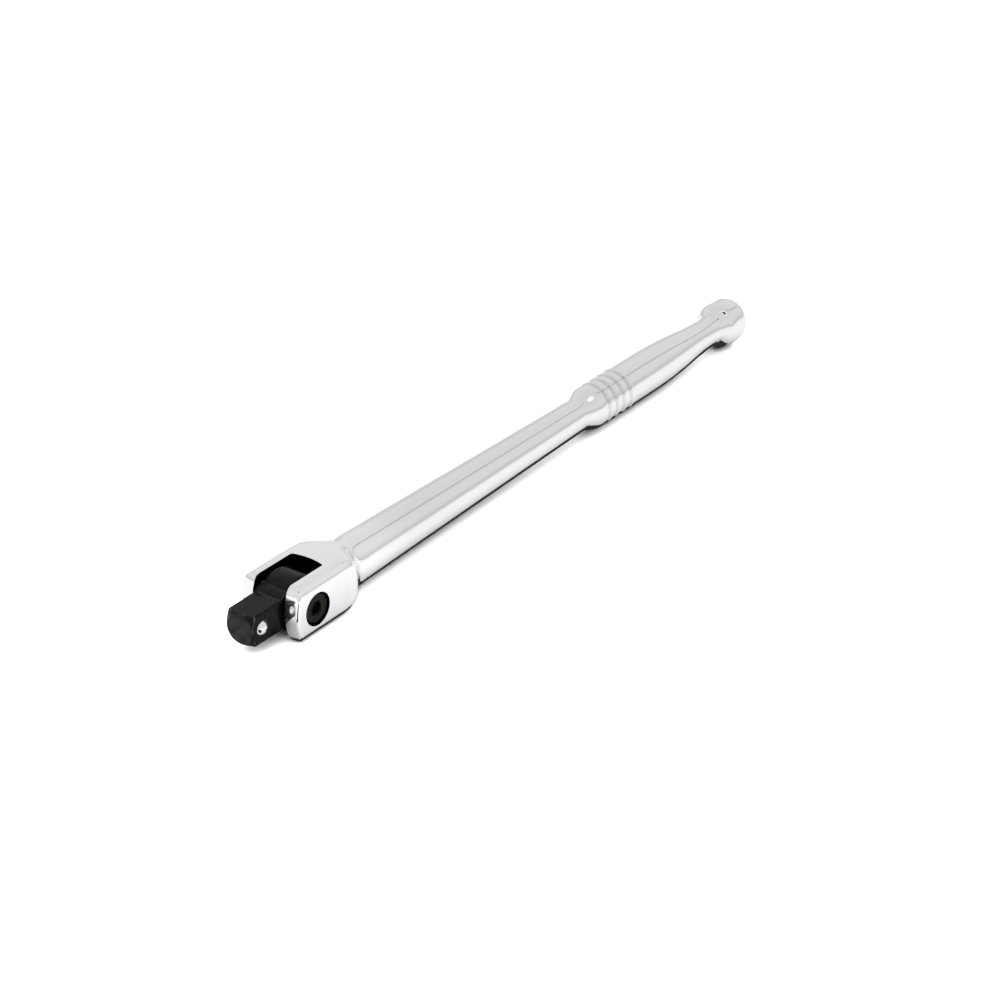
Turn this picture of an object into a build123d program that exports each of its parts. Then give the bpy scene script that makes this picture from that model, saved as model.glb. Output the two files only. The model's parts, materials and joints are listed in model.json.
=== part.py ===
from build123d import *

import os
from math import sqrt

# Breaker bar with a swivelling 3/8 in square drive, in millimetres.
# The origin is the centre of the square's end face. +X runs along the bar to the knob,
# Y is the axis of the pivot screw, whose head is on the -Y side, and +Z is up.

# Square drive and knuckle
square_size = 9.5
square_edge_radius = 0.6
pivot_x = 20.8
end_face_radius = 4.35
end_chamfer_slope = 0.7
knuckle_radius = 8.0
knuckle_width = 11.1
knuckle_rim_radius = 2.2
neck_radius = 5.0

# Forked head of the bar
head_width = 21.0
head_height = 17.4
head_edge_radius = 3.6
ear_reach = 9.0
ear_plan_radius = 60.0
ear_side_radius = 20.0
ear_corner_radius = 3.6
crown_margin = 0.3
ear_edge_radius = 0.9
slot_width = 11.4
slot_depth = 9.1
slot_back_bow = 0.9
slot_corner_radius = 0.8
slot_edge_break = 0.3
cut_overrun = 1.0
edge_tolerance = 0.001

# Shoulder between the head and the shank. Its height shrinks over its whole length,
# its width between two fractions of that length, and its corners grow round up to a third.
shoulder_start = pivot_x + 12.7
shoulder_length = 14.0
shoulder_sections = 14
shoulder_end_corner = 7.75
width_change_start = 0.27
width_change_end = 0.68
corner_change_end = 0.74

# Shank, and the grip's outline: each point is a distance from the grip's start and the radius there
overall_length = 263.0
shank_start_radius = 7.8
shank_end_radius = 5.65
grip_start = pivot_x + 140.7
grip_full = (8.5, 7.45)
grip_middle = (34.0, 7.5)
grip_end = (50.0, 7.3)
taper_middle = (64.0, 6.4)
throat_entry = (77.5, 5.4)
throat = (84.2, 5.3)
flare_middle = (86.2, 6.5)
flare_end = (90.5, 8.1)
knob_dome_length = 6.6

# Grooves round the grip
groove_count = 4
groove_pitch = 4.2
groove_middle = pivot_x + 157.5
groove_floor_radius = 6.8
groove_cutter_radius = 1.3
groove_lip_radius = 0.35

# Pivot screw
screw_head_radius = 4.45
screw_head_height = 2.5
screw_head_chamfer = 0.4
screw_recess = 0.45
screw_seat_radius = 5.05
shoulder_radius = 3.75
thread_radius = 2.9
thread_end_recess = 0.5
thread_chamfer = 0.5
hexagon_size = 4.0
hexagon_depth = 1.9
hexagon_mouth_radius = 2.4
running_clearance = 0.05

# Detent ball in the -Y flat of the square
ball_radius = 2.38
ball_stand_out = 1.15
ball_x = 4.2
ball_bore_depth = 7.8
ball_spring_radius = 1.6
ball_spring_turns = 4.5

# Friction plunger behind the slot
plunger_radius = 2.45
plunger_length = 7.0
plunger_gap = 0.15
plunger_nose_radius = 1.8
plunger_spigot_radius = 1.15
plunger_spigot_length = 2.5
plunger_bore_depth = 14.5
plunger_spring_radius = 1.8
plunger_spring_turns = 6
wire_radius = 0.25

os.makedirs("parts", exist_ok=True)

half_square = square_size / 2
half_head = head_width / 2
half_slot = slot_width / 2
ear_front = pivot_x - ear_reach
slot_back = pivot_x + slot_depth
screw_face_y = -half_head + screw_recess
screw_seat_y = screw_face_y + screw_head_height
shank_start = shoulder_start + shoulder_length
dome_start = overall_length - knob_dome_length
screw_end_y = half_head - thread_end_recess
ball_y = -half_square - ball_stand_out + ball_radius
ball_bore_end = ball_bore_depth - half_square
ball_rest_y = ball_y + sqrt((ball_radius + wire_radius) ** 2 - ball_spring_radius**2)
coil_inset = 1.5 * wire_radius
ball_spring_height = ball_bore_end - ball_rest_y - 2 * coil_inset
plunger_nose_x = pivot_x + knuckle_radius + plunger_gap
plunger_back_x = plunger_nose_x + plunger_length
bore_end = slot_back + plunger_bore_depth
plunger_spring_height = bore_end - plunger_back_x - 2 * coil_inset


def smooth_step(value):
    """An S-curve from 0 to 1, flat below 0 and above 1."""
    inside = min(max(value, 0), 1)
    return inside * inside * (3 - 2 * inside)


def grip_point(station):
    """A point of the grip's outline, from its distance behind the grip's start and its radius."""
    distance, radius = station
    return (grip_start + distance, radius)


# --- bar: one forging from the fork to the knob ---
with BuildPart() as bar:
    # The fork starts as a block with rounded long edges.
    with BuildSketch(Plane.YZ.offset(ear_front)):
        RectangleRounded(head_width, head_height, head_edge_radius)
    extrude(amount=shoulder_start - ear_front)

    # Its front is crowned both ways: an arc in side view, turned about a far upright axis.
    crown_height = head_height / 2 + crown_margin
    crown_sag = ear_side_radius - sqrt(ear_side_radius**2 - crown_height**2)
    with BuildSketch(Plane.XZ) as side_view:
        with BuildLine():
            RadiusArc(
                (ear_front + crown_sag, -crown_height),
                (ear_front + crown_sag, crown_height),
                ear_side_radius,
            )
            Polyline(
                (ear_front + crown_sag, crown_height),
                (shoulder_start + cut_overrun, crown_height),
                (shoulder_start + cut_overrun, -crown_height),
                (ear_front + crown_sag, -crown_height),
            )
        make_face()
        fillet(side_view.vertices().group_by(Axis.X)[0], ear_corner_radius)
    revolve(axis=Axis((ear_front + ear_plan_radius, 0, 0), (0, 0, 1)), mode=Mode.INTERSECT)
    crown_edges = bar.edges().filter_by(lambda edge: (edge @ 0.5).X < (pivot_x + ear_front) / 2)
    crown_sides = crown_edges.filter_by(lambda edge: abs((edge @ 0.5).Y) > half_slot)
    crown_ends = crown_edges.group_by(Axis.Z)
    fillet(crown_sides + crown_ends[0] + crown_ends[-1], ear_edge_radius)

    # The shoulder runs from the block's rounded section to the round shank.
    for section in range(shoulder_sections + 1):
        along = section / shoulder_sections
        blend = smooth_step(along)
        waist = smooth_step((along - width_change_start) / (width_change_end - width_change_start))
        section_width = head_width + (2 * shank_start_radius - head_width) * waist
        section_height = head_height + (2 * shank_start_radius - head_height) * blend
        rounding = smooth_step(along / corner_change_end)
        corner = head_edge_radius + (shoulder_end_corner - head_edge_radius) * rounding
        with BuildSketch(Plane.YZ.offset(shoulder_start + along * shoulder_length)):
            RectangleRounded(section_width, section_height, corner)
    loft()

    # Shank, grip and knob are turned about the bar's axis.
    with BuildSketch(Plane.XZ) as turned:
        with BuildLine():
            Line((shank_start, shank_start_radius), (grip_start, shank_end_radius))
            Spline(
                (grip_start, shank_end_radius),
                grip_point(grip_full),
                tangents=[(1, -0.02), (1, 0.01)],
            )
            Spline(
                grip_point(grip_full),
                grip_point(grip_middle),
                grip_point(grip_end),
                grip_point(taper_middle),
                grip_point(throat_entry),
                grip_point(throat),
                tangents=[(1, 0.01), (1, 0)],
            )
            Spline(
                grip_point(throat),
                grip_point(flare_middle),
                grip_point(flare_end),
                tangents=[(1, 0), (1, 0)],
            )
            knob_radius = flare_end[1]
            Line(grip_point(flare_end), (dome_start, knob_radius))
            EllipticalCenterArc(
                center=(dome_start, 0),
                x_radius=knob_dome_length,
                y_radius=knob_radius,
                start_angle=0,
                arc_size=90,
            )
            Polyline((overall_length, 0), (shank_start, 0), (shank_start, shank_start_radius))
        make_face()
        groove_span = groove_pitch * (groove_count - 1)
        with Locations((groove_middle, groove_floor_radius + groove_cutter_radius)):
            with GridLocations(groove_pitch, 0, groove_count, 1):
                Circle(groove_cutter_radius, mode=Mode.SUBTRACT)
        groove_lips = turned.vertices().filter_by(
            lambda corner: abs(corner.X - groove_middle) < groove_span / 2 + groove_cutter_radius
        )
        fillet(groove_lips, groove_lip_radius)
    revolve(axis=Axis.X)

    # Slot between the ears, open at the front, the top and the bottom, with a bowed back
    slot_corner_x = slot_back - slot_back_bow
    with BuildSketch(Plane.XY) as slot:
        with BuildLine():
            Polyline(
                (slot_corner_x, half_slot),
                (ear_front - cut_overrun, half_slot),
                (ear_front - cut_overrun, -half_slot),
                (slot_corner_x, -half_slot),
            )
            ThreePointArc((slot_corner_x, -half_slot), (slot_back, 0), (slot_corner_x, half_slot))
        make_face()
        fillet(slot.vertices().group_by(Axis.X)[-1], slot_corner_radius)
    extrude(amount=head_height, both=True, mode=Mode.SUBTRACT)
    cut_edges = bar.edges(Select.LAST).filter_by(Axis.Z, reverse=True)
    slot_rims = cut_edges.filter_by(lambda edge: abs((edge @ 0.5).Y) < half_slot + edge_tolerance)
    fillet(slot_rims, slot_edge_break)

    # Screw seat in the near ear, tapped hole in the far ear
    with Locations(Plane(origin=(pivot_x, -half_head, 0), x_dir=(1, 0, 0), z_dir=(0, -1, 0))):
        CounterBoreHole(
            radius=shoulder_radius + running_clearance,
            counter_bore_radius=screw_seat_radius,
            counter_bore_depth=screw_recess + screw_head_height,
            depth=half_head,
        )
    with Locations(Plane(origin=(pivot_x, half_head, 0), x_dir=(1, 0, 0), z_dir=(0, 1, 0))):
        Hole(radius=thread_radius + running_clearance, depth=half_head)

    # Blind bore for the friction plunger, drilled through the slot
    with Locations(Plane(origin=(slot_back, 0, 0), x_dir=(0, 1, 0), z_dir=(-1, 0, 0))):
        Hole(radius=plunger_radius + running_clearance, depth=plunger_bore_depth)


# --- drive tang: square, concave neck and knuckle ---
neck_tangent_x = pivot_x - sqrt(
    (knuckle_radius + neck_radius) ** 2 - (half_square + neck_radius) ** 2
)
touch = knuckle_radius / (knuckle_radius + neck_radius)
knuckle_tangent_x = pivot_x - (pivot_x - neck_tangent_x) * touch
knuckle_tangent_z = (half_square + neck_radius) * touch

with BuildPart() as drive_tang:
    # Square and neck: flat sides, with a concave sweep up to the knuckle above and below
    with BuildSketch(Plane.XZ):
        with BuildLine():
            Line((0, 0), (0, half_square))
            Line((0, half_square), (neck_tangent_x, half_square))
            RadiusArc(
                (neck_tangent_x, half_square),
                (knuckle_tangent_x, knuckle_tangent_z),
                neck_radius,
            )
            Line((knuckle_tangent_x, knuckle_tangent_z), (pivot_x, knuckle_tangent_z))
            Line((pivot_x, knuckle_tangent_z), (pivot_x, 0))
            mirror(about=Plane.XZ)
        make_face()
    extrude(amount=half_square, both=True)
    corner_edges = drive_tang.edges().filter_by(Axis.X).group_by(SortBy.LENGTH)[-1]
    fillet(corner_edges, square_edge_radius)

    # Turned chamfer on the end: it takes the corners off and leaves a round end face
    with BuildSketch(Plane.XZ):
        with BuildLine():
            Polyline(
                (0, end_face_radius),
                (end_chamfer_slope * square_size, end_face_radius + square_size),
                (0, end_face_radius + square_size),
                close=True,
            )
        make_face()
    revolve(axis=Axis.X, mode=Mode.SUBTRACT)

    # Knuckle: a disc about the pivot with a well rounded rim
    with BuildSketch(Plane.XY):
        with Locations((pivot_x + knuckle_radius / 2, 0)):
            knuckle_half = Rectangle(knuckle_radius, knuckle_width)
        fillet(knuckle_half.vertices().group_by(Axis.X)[-1], knuckle_rim_radius)
    revolve(axis=Axis((pivot_x, 0, 0), (0, 1, 0)))

    # Bore for the pivot screw
    with Locations(Plane(origin=(pivot_x, -knuckle_width / 2, 0), x_dir=(1, 0, 0), z_dir=(0, -1, 0))):
        Hole(radius=shoulder_radius + running_clearance, depth=knuckle_width)

    # Blind bore behind the detent ball. Its mouth is closed in around the ball, which can't fall out.
    with BuildSketch(Plane.XZ.offset(-ball_y)):
        with Locations((ball_x, 0)):
            Circle(ball_radius + running_clearance)
    extrude(amount=ball_y - ball_bore_end, mode=Mode.SUBTRACT)
    with Locations((ball_x, ball_y, 0)):
        Sphere(ball_radius + running_clearance, mode=Mode.SUBTRACT)


# --- pivot screw: flush head with a hexagon socket, plain shoulder, threaded end ---
with BuildPart() as pivot_screw:
    with BuildSketch(Plane.XY):
        with BuildLine():
            Polyline(
                (pivot_x, screw_face_y),
                (pivot_x + screw_head_radius - screw_head_chamfer, screw_face_y),
                (pivot_x + screw_head_radius, screw_face_y + screw_head_chamfer),
                (pivot_x + screw_head_radius, screw_seat_y),
                (pivot_x + shoulder_radius, screw_seat_y),
                (pivot_x + shoulder_radius, half_slot),
                (pivot_x + thread_radius, half_slot),
                (pivot_x + thread_radius, screw_end_y - thread_chamfer),
                (pivot_x + thread_radius - thread_chamfer, screw_end_y),
                (pivot_x, screw_end_y),
                close=True,
            )
        make_face()
    revolve(axis=Axis((pivot_x, 0, 0), (0, 1, 0)))
    socket_face = Plane(origin=(pivot_x, screw_face_y, 0), x_dir=(1, 0, 0), z_dir=(0, 1, 0))
    with BuildSketch(socket_face):
        RegularPolygon(hexagon_size / 2, 6, major_radius=False)
    extrude(amount=hexagon_depth, mode=Mode.SUBTRACT)
    with Locations(socket_face):
        Cone(
            bottom_radius=hexagon_mouth_radius,
            top_radius=hexagon_size / 2,
            height=hexagon_mouth_radius - hexagon_size / 2,
            align=(Align.CENTER, Align.CENTER, Align.MIN),
            mode=Mode.SUBTRACT,
        )


# --- detent ball and its spring ---
with BuildPart() as detent_ball:
    with Locations((ball_x, ball_y, 0)):
        Sphere(ball_radius)

with BuildPart() as ball_spring:
    with BuildLine():
        ball_coil = Helix(
            pitch=ball_spring_height / ball_spring_turns,
            height=ball_spring_height,
            radius=ball_spring_radius,
            center=(ball_x, ball_bore_end - ball_spring_height - coil_inset, 0),
            direction=(0, 1, 0),
        )
    with BuildSketch(Plane(origin=ball_coil @ 0, z_dir=ball_coil % 0)):
        Circle(wire_radius)
    sweep(is_frenet=True)


# --- friction plunger and its spring ---
with BuildPart() as friction_plunger:
    with BuildSketch(Plane.XZ) as plunger_outline:
        with Locations((plunger_nose_x + plunger_length / 2, plunger_radius / 2)):
            Rectangle(plunger_length, plunger_radius)
        with Locations((plunger_back_x + plunger_spigot_length / 2, plunger_spigot_radius / 2)):
            Rectangle(plunger_spigot_length, plunger_spigot_radius)
        nose_corner = plunger_outline.vertices().sort_by(Axis.X)[:2].sort_by(Axis.Y)[-1]
        fillet(nose_corner, plunger_nose_radius)
    revolve(axis=Axis.X)

with BuildPart() as plunger_spring:
    with BuildLine():
        plunger_coil = Helix(
            pitch=plunger_spring_height / plunger_spring_turns,
            height=plunger_spring_height,
            radius=plunger_spring_radius,
            center=(plunger_back_x + coil_inset, 0, 0),
            direction=(1, 0, 0),
        )
    with BuildSketch(Plane(origin=plunger_coil @ 0, z_dir=plunger_coil % 0)):
        Circle(wire_radius)
    sweep(is_frenet=True)


pieces = {
    "bar": bar,
    "drive_tang": drive_tang,
    "pivot_screw": pivot_screw,
    "detent_ball": detent_ball,
    "ball_spring": ball_spring,
    "friction_plunger": friction_plunger,
    "plunger_spring": plunger_spring,
}
for name, piece in pieces.items():
    piece.part.label = name
    export_step(piece.part, f"parts/{name}.step")
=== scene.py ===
import json
from math import cos, radians, sin

import bpy
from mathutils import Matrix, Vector


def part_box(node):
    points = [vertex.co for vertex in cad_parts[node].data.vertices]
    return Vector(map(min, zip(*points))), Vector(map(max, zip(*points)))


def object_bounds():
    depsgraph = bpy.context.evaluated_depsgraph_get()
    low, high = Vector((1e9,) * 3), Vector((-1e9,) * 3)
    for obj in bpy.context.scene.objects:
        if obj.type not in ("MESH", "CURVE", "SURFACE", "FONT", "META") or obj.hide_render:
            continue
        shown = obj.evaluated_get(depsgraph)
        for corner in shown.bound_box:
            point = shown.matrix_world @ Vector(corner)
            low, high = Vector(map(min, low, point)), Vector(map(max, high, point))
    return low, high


# A breaker bar lying on a white table under soft studio light.
# Everything is in metres, in the part's own frame: +X runs along the bar, +Z is up.

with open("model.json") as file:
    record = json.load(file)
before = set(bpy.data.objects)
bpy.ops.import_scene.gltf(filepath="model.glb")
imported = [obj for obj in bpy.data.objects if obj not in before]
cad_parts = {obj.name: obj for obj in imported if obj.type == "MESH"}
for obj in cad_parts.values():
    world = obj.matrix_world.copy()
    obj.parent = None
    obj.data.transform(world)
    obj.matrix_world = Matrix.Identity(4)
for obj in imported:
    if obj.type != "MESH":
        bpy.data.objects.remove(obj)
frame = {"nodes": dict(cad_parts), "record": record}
nodes = frame["nodes"]
cad_low, cad_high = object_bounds()
scene = bpy.context.scene
scene.view_settings.view_transform = "Standard"

# Camera
aim = Vector((0.1014, -0.0140, 0.0))
azimuth = radians(-54.045)
elevation = radians(28.399)
camera_distance = 0.6621
focal_length = 79.2
sensor_width = 36.0

back = Vector((sin(azimuth) * cos(elevation), -cos(azimuth) * cos(elevation), sin(elevation)))
camera_data = bpy.data.cameras.new("camera")
camera_data.lens = focal_length
camera_data.sensor_width = sensor_width
camera_data.clip_start = 0.01
camera = bpy.data.objects.new("camera", camera_data)
camera.location = aim + camera_distance * back
camera.rotation_euler = back.to_track_quat("Z", "Y").to_euler()
scene.collection.objects.link(camera)
scene.camera = camera


class Nodes:
    """Short ways to add shader nodes to one tree."""

    def __init__(self, tree):
        self.tree = tree
        self.tree.nodes.clear()

    def add(self, kind, inputs=None, **settings):
        """A node with its settings and inputs: a value, or an output of another node."""
        node = self.tree.nodes.new(kind)
        for name, value in settings.items():
            setattr(node, name, value)
        for name, value in (inputs or {}).items():
            if isinstance(value, bpy.types.NodeSocket):
                self.tree.links.new(value, node.inputs[name])
            else:
                node.inputs[name].default_value = value
        return node

    def math(self, operation, a, b=0.0):
        """One step of arithmetic on one or two values."""
        return self.add("ShaderNodeMath", {0: a, 1: b}, operation=operation).outputs[0]

    def spread(self, value, low, high, to_low, to_high):
        """Value from low..high, clamped and smoothed, to to_low..to_high."""
        inputs = {
            "Value": value,
            "From Min": low,
            "From Max": high,
            "To Min": to_low,
            "To Max": to_high,
        }
        node = self.add("ShaderNodeMapRange", inputs, interpolation_type="SMOOTHSTEP")
        return node.outputs["Result"]

    def colours(self, value, stops):
        """A colour ramp through (position, colour) stops."""
        node = self.add("ShaderNodeValToRGB", {"Fac": value})
        ramp = node.color_ramp
        while len(ramp.elements) < len(stops):
            ramp.elements.new(0.5)
        for element, (position, colour) in zip(ramp.elements, stops):
            element.position = position
            element.color = (*colour, 1.0)
        return node.outputs["Color"]

    def product(self, first, *others):
        """All the values multiplied together."""
        for other in others:
            first = self.math("MULTIPLY", first, other)
        return first

    def distance(self, a, b):
        """How far (a, b) is from (0, 0)."""
        square = self.math("ADD", self.math("MULTIPLY", a, a), self.math("MULTIPLY", b, b))
        return self.math("SQRT", square)

    def axes(self):
        """The object's own X, and its distances from the middle along Y and Z."""
        where = self.add("ShaderNodeTexCoord").outputs["Object"]
        parts = self.add("ShaderNodeSeparateXYZ", {"Vector": where}).outputs
        return parts["X"], self.math("ABSOLUTE", parts["Y"]), self.math("ABSOLUTE", parts["Z"])

    def blend_values(self, share, a, b):
        """Two values mixed by a share of the second."""
        inputs = {"Factor": share, "A": a, "B": b}
        return self.add("ShaderNodeMix", inputs, data_type="FLOAT").outputs["Result"]

    def blend(self, share, a, b):
        """Two colours mixed by a share of the second."""
        node = self.add("ShaderNodeMix", {"Factor": share}, data_type="RGBA")
        for name, value in (("A", a), ("B", b)):
            named = [socket for socket in node.inputs if socket.name == name]
            socket = next(socket for socket in named if socket.type == "RGBA")
            if isinstance(value, bpy.types.NodeSocket):
                self.tree.links.new(value, socket)
            else:
                socket.default_value = (*value, 1.0)
        return next(socket for socket in node.outputs if socket.type == "RGBA")

    def place(self, scale=(1.0, 1.0, 1.0)):
        """The object's own coordinates in metres, scaled along each axis."""
        where = self.add("ShaderNodeTexCoord").outputs["Object"]
        return self.add("ShaderNodeMapping", {"Vector": where, "Scale": scale}).outputs["Vector"]

    def noise(self, where, scale, detail=3.0, roughness=0.5):
        """Cloudy random values between 0 and 1."""
        inputs = {"Vector": where, "Scale": scale, "Detail": detail, "Roughness": roughness}
        return self.add("ShaderNodeTexNoise", inputs).outputs["Fac"]

    def bump(self, height, distance, strength):
        """A surface direction tilted by fine relief."""
        inputs = {"Height": height, "Distance": distance, "Strength": strength}
        return self.add("ShaderNodeBump", inputs).outputs["Normal"]

    def dot(self, a, b):
        """The cosine of the angle between two directions."""
        inputs = {0: a, 1: b}
        return self.add("ShaderNodeVectorMath", inputs, operation="DOT_PRODUCT").outputs["Value"]

    def ray(self, kind):
        """1 for light rays of this kind, 0 for all others."""
        return self.add("ShaderNodeLightPath").outputs[kind]

    def finish(self, shader):
        """Make the shader the material's surface."""
        output = next(socket for socket in shader.outputs if socket.type == "SHADER")
        self.add("ShaderNodeOutputMaterial", {"Surface": output})


def surface(name):
    """A new material and its empty node tree."""
    material = bpy.data.materials.new(name)
    material.use_nodes = True
    return material, Nodes(material.node_tree)


# Places on the bar where the finish or the painted shade changes, from the part's dimensions
pivot_x = 0.0208
slot_back_x = 0.0300
slot_wall_y = 0.00575
slot_rim_z = 0.0084
seat_radius = 0.00506
ear_face_y = 0.0105
grooves_middle_x = 0.1783
grooves_reach = 0.0085
grooves_floor_radius = 0.0068
groove_shade_depth = 0.0006
handled_start_x = 0.045
handled_full_x = 0.075

# Widths over which one finish or painted shade turns into the next
slot_fade = 0.0002
wall_fade = 0.00015
seat_fade = 0.00006
face_margin = 0.00005
face_fade = 0.0001
groove_end_fade = 0.0007
groove_depth_fade = 0.0005

# How far the blackening is rubbed through, and the painted highlight reaches, in from the edges
# and down from the drive's end face
edge_rub_and_highlight_width = 0.0004
end_rub_and_sheen_start = 0.0001
end_rub_and_sheen_end = 0.0004

# Colours of the plating, darkest and lightest, and of what shows beside it, with the painted
# shade of the slot, the seat and the grooves
plate_dark = (0.84, 0.845, 0.86)
plate_light = (0.89, 0.89, 0.90)
handled_dark = (0.79, 0.79, 0.80)
handled_light = (0.81, 0.81, 0.82)
groove_shade_plate = (0.66, 0.66, 0.67)
recess_shade_colour = (0.020, 0.019, 0.018)


def chrome_plate():
    """Bright nickel-chrome with the faint ripple and wipe marks of the polish under it."""
    material, tree = surface("chrome_plate")
    ripple = tree.noise(tree.place(), scale=160.0, detail=1.0)
    stretched_in_x = tree.place((0.25, 1.0, 1.0))
    wipe_marks = tree.noise(stretched_in_x, scale=900.0, detail=4.0, roughness=0.6)
    haze = tree.noise(tree.place(), scale=60.0, detail=3.0)
    plate = tree.colours(haze, [(0.35, plate_dark), (0.65, plate_light)])
    x, y, z = tree.axes()
    # Handling has dulled the shank and the grip a little more than the head.
    along_shank = tree.spread(x, handled_start_x, handled_full_x, 0.0, 1.0)
    plate = tree.blend(along_shank, plate, tree.blend(haze, handled_dark, handled_light))
    # Painted shade: the slot and the screw's seat are coloured dark, for the shade that falls in
    # these recesses.
    slot_shade = tree.product(
        tree.spread(x, slot_back_x, slot_back_x + slot_fade, 1.0, 0.0),
        tree.spread(y, slot_wall_y, slot_wall_y + wall_fade, 1.0, 0.0),
        tree.spread(z, slot_rim_z - slot_fade, slot_rim_z, 1.0, 0.0),
    )
    from_pivot = tree.distance(tree.math("SUBTRACT", x, pivot_x), z)
    seat_shade_stops_y = ear_face_y - face_margin
    seat_shade = tree.product(
        tree.spread(from_pivot, seat_radius, seat_radius + seat_fade, 1.0, 0.0),
        tree.spread(y, seat_shade_stops_y - face_fade, seat_shade_stops_y, 1.0, 0.0),
    )
    recess_shade = tree.math("MAXIMUM", slot_shade, seat_shade)
    # Painted shade: the floors of the grip's grooves are coloured darker, for the shade in them.
    grooves_start = grooves_middle_x - grooves_reach
    grooves_end = grooves_middle_x + grooves_reach
    groove_shade_ends_at = grooves_floor_radius + groove_shade_depth
    groove_shade = tree.product(
        tree.spread(x, grooves_start, grooves_start + groove_end_fade, 0.0, 1.0),
        tree.spread(x, grooves_end - groove_end_fade, grooves_end, 1.0, 0.0),
        tree.spread(tree.distance(y, z), groove_shade_ends_at - groove_depth_fade, groove_shade_ends_at, 1.0, 0.0),
    )
    plate = tree.blend(groove_shade, plate, groove_shade_plate)
    shader = tree.add(
        "ShaderNodeBsdfPrincipled",
        {
            "Base Color": tree.blend(recess_shade, plate, recess_shade_colour),
            "Metallic": 1.0,
            "Roughness": tree.spread(wipe_marks, 0.3, 0.7, 0.045, 0.095),
            "Normal": tree.bump(ripple, distance=0.00002, strength=0.35),
        },
    )
    tree.finish(shader)
    return material


def black_oxide(name, dark, light, rubbed_and_lit, roughness):
    """Blackened satin steel, rubbed brighter on its edges and on the drive's end face, partly as
    a painted highlight.
    """
    material, tree = surface(name)
    grain = tree.noise(tree.place(), scale=6000.0, detail=4.0, roughness=0.7)
    patches = tree.noise(tree.place(), scale=350.0, detail=4.0, roughness=0.6)
    edge = tree.add("ShaderNodeBevel", {"Radius": edge_rub_and_highlight_width}, samples=8).outputs["Normal"]
    flat = tree.add("ShaderNodeNewGeometry").outputs["Normal"]
    # Painted highlight, together with real rubbing: the edges are brightened.
    edge_rub_and_highlight = tree.product(
        tree.spread(tree.dot(edge, flat), 0.90, 0.995, 1.0, 0.0),
        tree.spread(patches, 0.45, 0.70, 0.0, 1.0),
    )
    x = tree.axes()[0]
    # Painted reflection, together with real rubbing: the drive's end face is brightened.
    end_rub_and_sheen = tree.product(
        tree.spread(x, end_rub_and_sheen_start, end_rub_and_sheen_end, 0.08, 0.0),
        tree.spread(patches, 0.30, 0.60, 0.3, 1.0),
    )
    rub_and_highlight = tree.math("MAXIMUM", edge_rub_and_highlight, end_rub_and_sheen)
    body = tree.colours(patches, [(0.3, dark), (0.7, light)])
    shader = tree.add(
        "ShaderNodeBsdfPrincipled",
        {
            "Base Color": tree.blend(rub_and_highlight, body, rubbed_and_lit),
            "Metallic": 0.20,
            "Specular IOR Level": 0.07,
            "Roughness": tree.spread(patches, 0.3, 0.7, roughness - 0.05, roughness + 0.07),
            "Normal": tree.bump(grain, distance=0.00001, strength=0.2),
        },
    )
    tree.finish(shader)
    return material


def steel(name, dark, light, roughness, grain_scale):
    """Bare steel with fine drawing or turning marks."""
    material, tree = surface(name)
    stretched_in_y = tree.place((1.0, 0.2, 1.0))
    marks = tree.noise(stretched_in_y, grain_scale, detail=4.0, roughness=0.65)
    shader = tree.add(
        "ShaderNodeBsdfPrincipled",
        {
            "Base Color": tree.colours(marks, [(0.3, dark), (0.7, light)]),
            "Metallic": 1.0,
            "Roughness": tree.spread(marks, 0.3, 0.7, roughness - 0.02, roughness + 0.05),
            "Normal": tree.bump(marks, distance=0.000004, strength=0.4),
        },
    )
    tree.finish(shader)
    return material


finishes = {
    "chrome_plate": chrome_plate(),
    "black_oxide": black_oxide(
        "black_oxide",
        dark=(0.0025, 0.0025, 0.0025),
        light=(0.006, 0.006, 0.006),
        rubbed_and_lit=(0.20, 0.20, 0.20),
        roughness=0.20,
    ),
    "black_screw": black_oxide(
        "black_screw",
        dark=(0.003, 0.0025, 0.002),
        light=(0.008, 0.0065, 0.0055),
        rubbed_and_lit=(0.16, 0.14, 0.12),
        roughness=0.28,
    ),
    "bright_ball": steel(
        "bright_ball",
        dark=(0.80, 0.80, 0.79),
        light=(0.90, 0.90, 0.89),
        roughness=0.07,
        grain_scale=900.0,
    ),
    "spring_steel": steel(
        "spring_steel",
        dark=(0.36, 0.36, 0.37),
        light=(0.55, 0.55, 0.56),
        roughness=0.26,
        grain_scale=3000.0,
    ),
    "plunger_steel": steel(
        "plunger_steel",
        dark=(0.32, 0.32, 0.33),
        light=(0.50, 0.50, 0.51),
        roughness=0.30,
        grain_scale=2500.0,
    ),
}
for part in frame["record"]["subparts"]:
    mesh = nodes[part["node"]].data
    mesh.materials.clear()
    mesh.materials.append(finishes[part["material_slot"]])


# Table: a large pale board just under the bar
floor_half = 30.0
floor_mesh = bpy.data.meshes.new("floor")
square = ((-1, -1), (1, -1), (1, 1), (-1, 1))
corners = [(x * floor_half, y * floor_half, cad_low.z) for x, y in square]
floor_mesh.from_pydata(corners, [], [(0, 1, 2, 3)])
floor = bpy.data.objects.new("floor", floor_mesh)
scene.collection.objects.link(floor)

# The board is lit strongly, so the faint outer shadows burn out.
# In what the bar mirrors it has a darker colour, which comes out as a normal white.
floor_material, tree = surface("table_board")
tint = tree.noise(tree.place(), scale=8.0, detail=2.0)
seen_directly = tree.colours(tint, [(0.3, (0.90, 0.90, 0.90)), (0.7, (0.92, 0.92, 0.92))])
mirrored = tree.colours(tint, [(0.3, (0.32, 0.32, 0.32)), (0.7, (0.33, 0.33, 0.33))])
board = tree.add(
    "ShaderNodeBsdfPrincipled",
    {
        "Base Color": tree.blend(tree.ray("Is Camera Ray"), mirrored, seen_directly),
        "Roughness": 0.9,
        "Specular IOR Level": 0.05,
    },
)
tree.finish(board)
floor_mesh.materials.append(floor_material)


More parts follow.
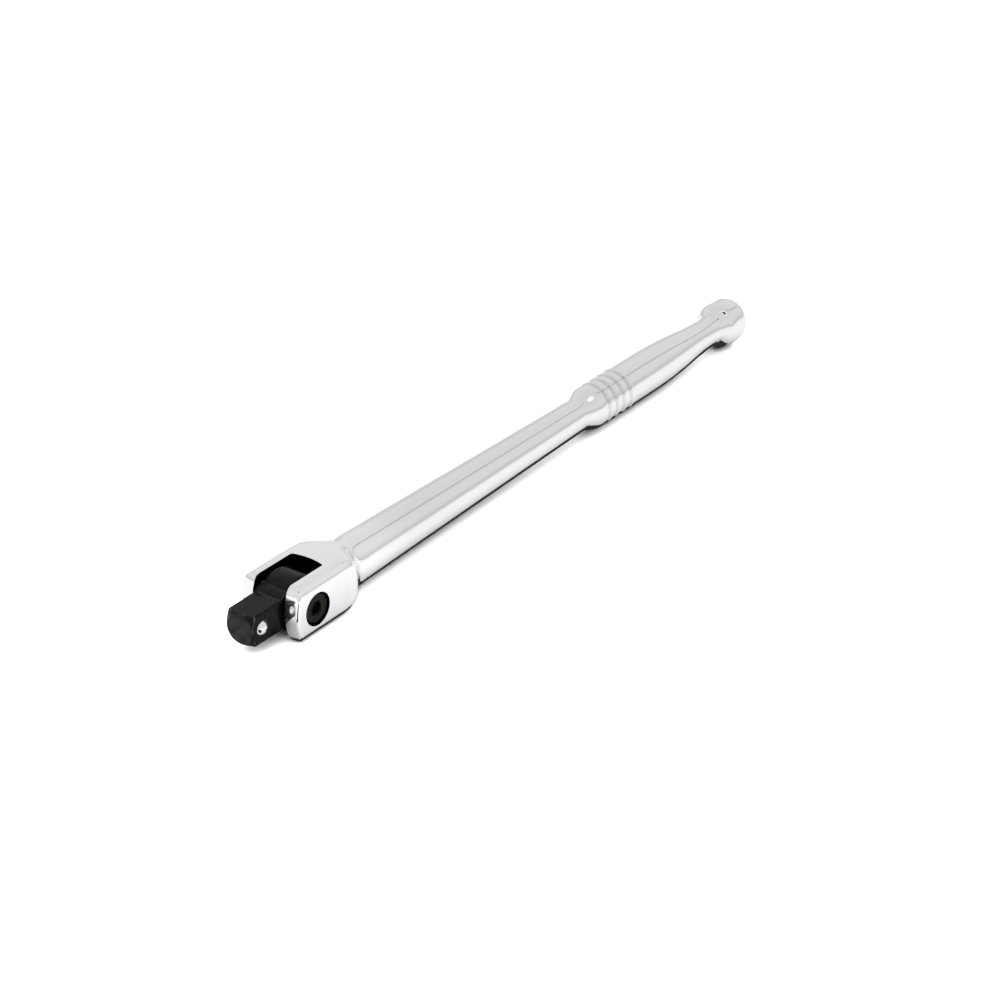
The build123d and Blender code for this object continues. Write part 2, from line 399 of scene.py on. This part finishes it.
def dark_card(name, outline, height, grey):
    """A level dark card that only mirrors see: it neither shades the table nor shows itself."""
    mesh = bpy.data.meshes.new(name)
    mesh.from_pydata([(x, y, height) for x, y in outline], [], [(0, 1, 2, 3)])
    card = bpy.data.objects.new(name, mesh)
    scene.collection.objects.link(card)
    card.visible_camera = False
    card.visible_diffuse = False
    card.visible_shadow = False
    material, tree = surface(name)
    speckle = tree.noise(tree.place(), scale=40.0, detail=2.0)
    card_tone = tree.colours(speckle, [(0.3, (grey * 0.9,) * 3), (0.7, (grey * 1.1,) * 3)])
    tree.finish(tree.add("ShaderNodeEmission", {"Color": card_tone}))
    mesh.materials.append(material)


# Painted shade: dark cards under the bar, where the table lies in its shade, so that its belly
# mirrors black
bar_low, bar_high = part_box("bar")
card_height = cad_low.z + 0.0001
card_grey = 0.03
far_edge = 0.0060
head_start = bar_low.x + 0.001
head_end = 0.038
shank_end = bar_high.x - 0.012
for name, start, end, near_edge in (
    ("shade_card_under_head", head_start, head_end, -0.0112),
    ("shade_card_under_shank", head_end, shank_end, -0.0068),
):
    outline = [(start, near_edge), (end, near_edge), (end, far_edge), (start, far_edge)]
    dark_card(name, outline, card_height, card_grey)

# In front of the head, towards the camera
outline = [(0.0010, -0.0200), (-0.050, -0.072), (-0.080, -0.040), (0.0010, -0.0075)]
dark_card("card_in_front", outline, card_height, card_grey)

# Seam of the tent, high up over the far side
seam_height = 0.50
seam_grey = 0.52
outline = [(0.492, -0.137), (1.900, -0.340), (1.900, -0.270), (0.492, -0.089)]
dark_card("tent_seam", outline, seam_height, seam_grey)


# Light: a tent round the bar. Heights are the Z of a direction, 0 at the horizon and 1 overhead.
# It lights the table from high up only, so shadows stay close to the bar.
tent_light = 4.5
tent_light_heights = 0.36, 0.58
# What the chrome mirrors: a grey tent with the white sweep of the table near the horizon, and
# overhead the tent's dark opening in a bright ring.
tent_grey = 0.85
tent_top_grey = 0.80
tent_low_share = 0.80
tent_low_heights = 0.12, 0.40
tent_top_heights = 0.50, 0.80
sweep_white = 1.02
sweep_heights = 0.05, 0.09
ring_bright = 1.25
opening_dark = 0.02
opening_side = Vector((0.02, -0.33, 0.95)).normalized()
ring_edge = cos(radians(17)), cos(radians(13))
opening_edge = cos(radians(11)), cos(radians(9))
# What a camera low over the table sees behind it
backdrop_white = 1.0

world = bpy.data.worlds.new("studio")
world.use_nodes = True
scene.world = world
world.cycles.sampling_method = "NONE"
tree = Nodes(world.node_tree)
direction = tree.add("ShaderNodeTexCoord").outputs["Generated"]
height = tree.add("ShaderNodeSeparateXYZ", {"Vector": direction}).outputs["Z"]
to_opening = tree.dot(direction, opening_side)
tent = tree.product(
    tree.spread(height, *tent_low_heights, tent_low_share, 1.0),
    tree.spread(height, *tent_top_heights, tent_grey, tent_top_grey),
)
in_ring = tree.spread(to_opening, *ring_edge, 0.0, 1.0)
tent = tree.blend_values(in_ring, tent, ring_bright)
in_opening = tree.spread(to_opening, *opening_edge, 0.0, 1.0)
tent = tree.blend_values(in_opening, tent, opening_dark)
in_sweep = tree.spread(height, *sweep_heights, 1.0, 0.0)
seen_in_metal = tree.blend_values(in_sweep, tent, sweep_white)
lighting = tree.spread(height, *tent_light_heights, 0.0, tent_light)
strength = tree.blend_values(tree.ray("Is Glossy Ray"), lighting, seen_in_metal)
strength = tree.blend_values(tree.ray("Is Camera Ray"), strength, backdrop_white)
background = tree.add("ShaderNodeBackground", {"Color": (1, 1, 1, 1), "Strength": strength})
tree.add("ShaderNodeOutputWorld", {"Surface": background.outputs["Background"]})
